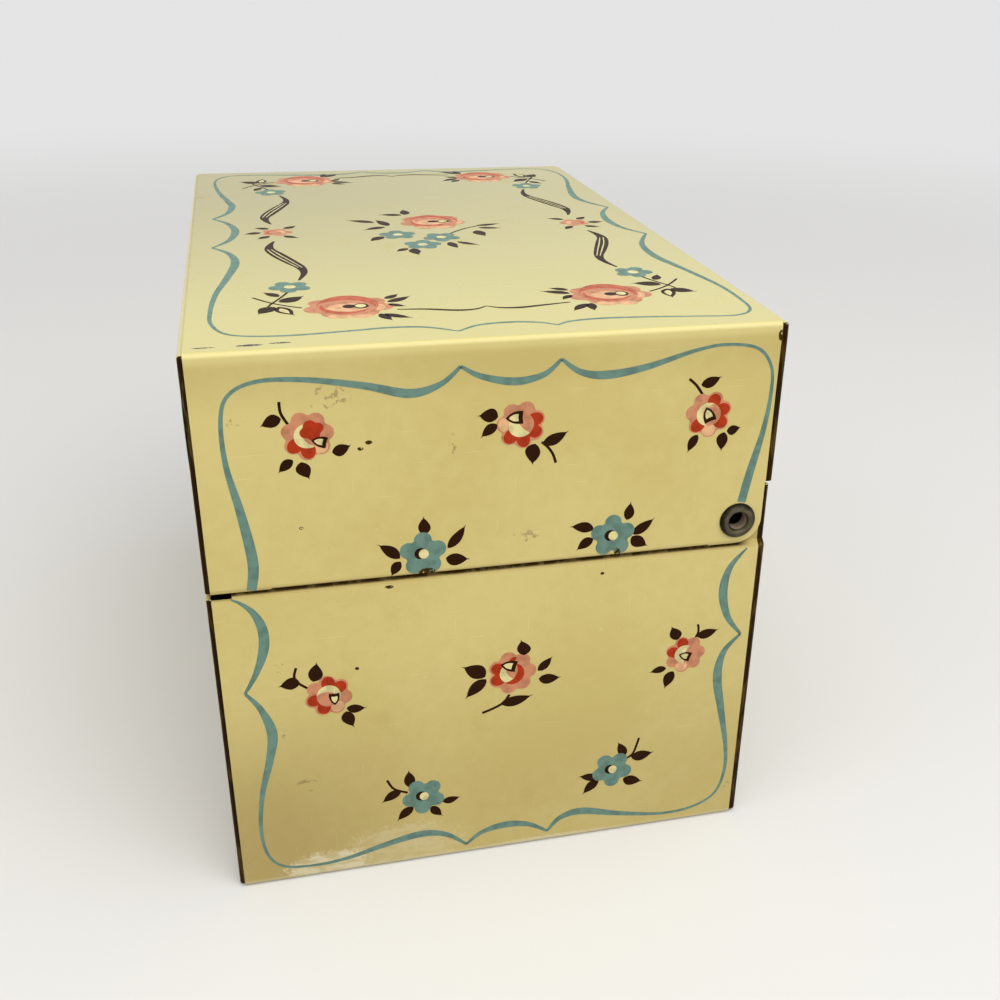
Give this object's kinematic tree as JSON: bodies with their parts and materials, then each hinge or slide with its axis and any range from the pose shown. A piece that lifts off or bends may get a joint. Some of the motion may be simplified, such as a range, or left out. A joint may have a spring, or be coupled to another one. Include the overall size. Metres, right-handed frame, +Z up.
{
  "type": "recipe card box",
  "caption": "Small printed tin box for recipe cards, with a flip-up lid that swings on hollow rivets at its lower rear corners.",
  "frame": {"origin": "middle of the footprint, on the surface that the box stands on", "axes": "+X along the long side, to the right of someone facing the front; +Y from the front to the hinged back; +Z up"},
  "size_m": [0.1416, 0.09, 0.0945],
  "materials": {
    "body_tin": "gloss lacquer over printed tinplate",
    "lid_tin": "gloss lacquer over printed tinplate",
    "rivet_metal": "darkened with age"
  },
  "bodies": {
    "box": {"body_wrap": "body_tin", "body_front": "body_tin", "body_back": "body_tin", "rivet_left": "rivet_metal", "rivet_right": "rivet_metal"},
    "lid": {"lid_wrap": "lid_tin", "lid_front": "lid_tin", "lid_back": "lid_tin"}
  },
  "joints": [
    {"name": "lid_hinge", "type": "hinge", "parent": "box", "child": "lid", "pos_m": [0, 0.0394, 0.0614], "axis": [-1, 0, 0], "range_deg": [0, 95]}
  ]
}
